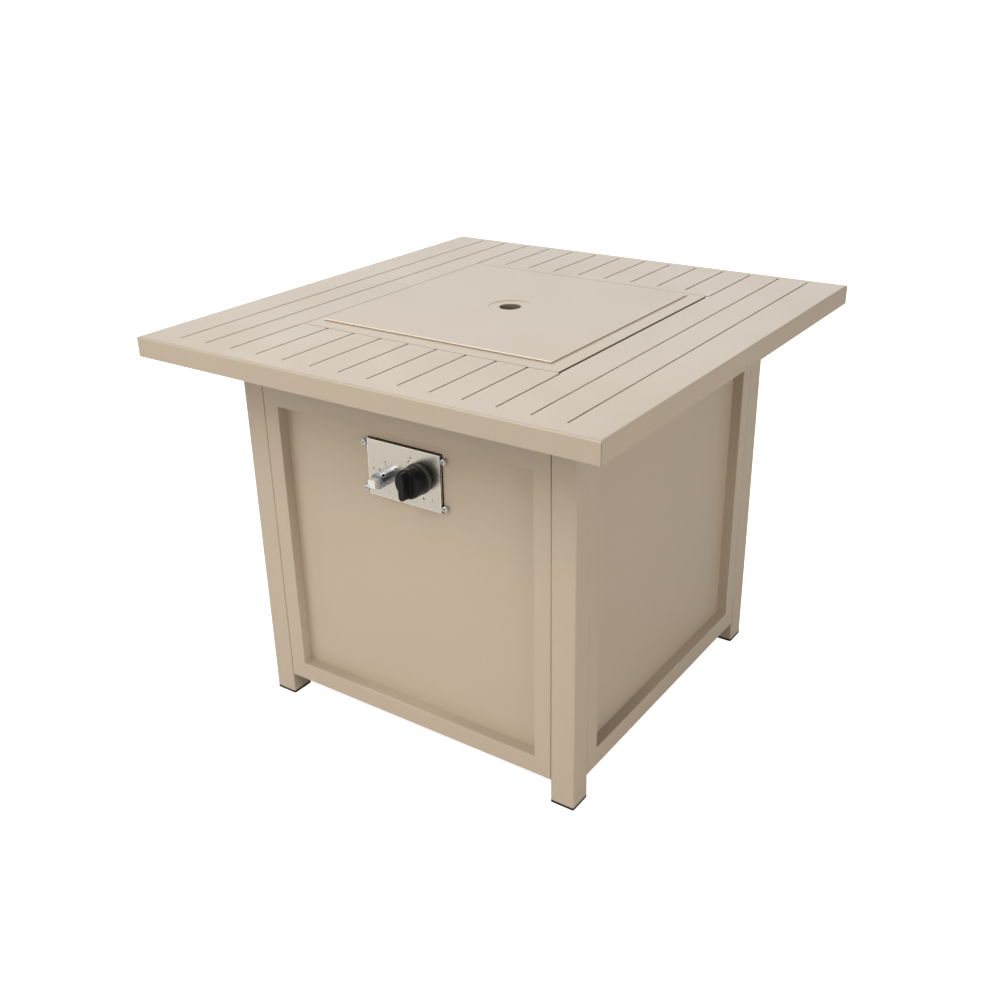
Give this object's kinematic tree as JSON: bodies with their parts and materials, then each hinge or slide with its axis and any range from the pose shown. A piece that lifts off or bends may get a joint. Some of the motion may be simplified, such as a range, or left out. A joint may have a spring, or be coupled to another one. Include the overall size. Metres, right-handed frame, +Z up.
{
  "type": "gas fire pit table",
  "caption": "Square slatted steel fire-pit table with a lift-off burner lid, recessed side panels, front gas control plate and hinged back door.",
  "frame": {"origin": "on the floor, under the middle of the table top", "axes": "+Z up, the control plate faces -Y, +X to the right of someone looking at the control plate"},
  "size_m": [0.8, 0.828, 0.6548],
  "materials": {
    "powder_coat": "fine satin powder coat, warm beige",
    "grey_coat": "dark grey paint",
    "black_plastic": "satin black",
    "rubber": "soft",
    "brushed_steel": "brushed",
    "zinc_steel": "bright zinc",
    "spring_steel": "drawn wire",
    "brass": "machined",
    "aluminium": "mill",
    "chrome": "bright plated",
    "white_plastic": "off-white moulded",
    "ceramic": "glazed white"
  },
  "bodies": {
    "table": {"leg_front_left": "powder_coat", "leg_front_right": "powder_coat", "leg_back_right": "powder_coat", "leg_back_left": "powder_coat", "front_frame": "powder_coat", "right_frame": "powder_coat", "left_frame": "powder_coat", "front_panel": "powder_coat", "right_panel": "powder_coat", "left_panel": "powder_coat", "back_rail_bottom": "powder_coat", "back_rail_top": "powder_coat", "top_beam_left": "powder_coat", "top_beam_right": "powder_coat", "corner_gussets": "powder_coat", "table_top": "powder_coat", "slat_bars": "powder_coat", "frame_seats": "powder_coat", "burner_frame": "powder_coat", "tank_tray": "grey_coat", "foot_caps": "black_plastic", "knob_bezel": "black_plastic", "door_magnet": "black_plastic", "control_plate": "brushed_steel", "burner_pan": "brushed_steel", "pan_walls": "brushed_steel", "burner_ring": "brushed_steel", "electrode_bracket": "brushed_steel", "top_bolts": "zinc_steel", "hinge_leaves": "zinc_steel", "hinge_pins": "zinc_steel", "control_screws": "zinc_steel", "control_nuts": "zinc_steel", "thermocouple": "zinc_steel", "valve_spring": "spring_steel", "igniter_spring": "spring_steel", "burner_stub": "brass", "pan_locknut": "brass", "pipe_nuts": "brass", "gas_valve": "brass", "valve_nut": "brass", "gas_pipe": "aluminium", "air_mixer": "aluminium", "igniter_body": "chrome", "igniter_nut": "chrome", "spark_electrode": "ceramic"},
    "lid": {"lid": "powder_coat", "lid_tabs": "powder_coat", "lid_stiffeners": "powder_coat", "lid_pads": "rubber"},
    "door": {"door_frame": "powder_coat", "door_sheet": "powder_coat", "door_leaves": "zinc_steel", "door_pull": "chrome", "door_strike": "zinc_steel"},
    "plunger": {"valve_plunger": "brass"},
    "knob": {"knob": "black_plastic", "valve_stem": "zinc_steel"},
    "button": {"igniter_button": "white_plastic"}
  },
  "joints": [
    {"name": "lid_lift", "type": "slide", "parent": "table", "child": "lid", "axis": [0, 0, 1], "range_m": [0, 0.15]},
    {"name": "door_swing", "type": "hinge", "parent": "table", "child": "door", "pos_m": [0.2621, 0.3068, 0.3045], "axis": [0, 0, -1], "range_deg": [0, 110]},
    {"name": "knob_push", "type": "slide", "parent": "table", "child": "plunger", "axis": [0, 1, 0], "range_m": [0, 0.004], "stiffness_N_per_m": 1500, "springref_m": -0.004, "deforming": ["valve_spring"]},
    {"name": "knob_turn", "type": "hinge", "parent": "plunger", "child": "knob", "pos_m": [0.026, -0.3, 0.4715], "axis": [0, -1, 0], "range_deg": [0, 180]},
    {"name": "igniter_press", "type": "slide", "parent": "table", "child": "button", "axis": [0, 1, 0], "range_m": [0, 0.006], "stiffness_N_per_m": 800, "springref_m": -0.004, "deforming": ["igniter_spring"]}
  ]
}
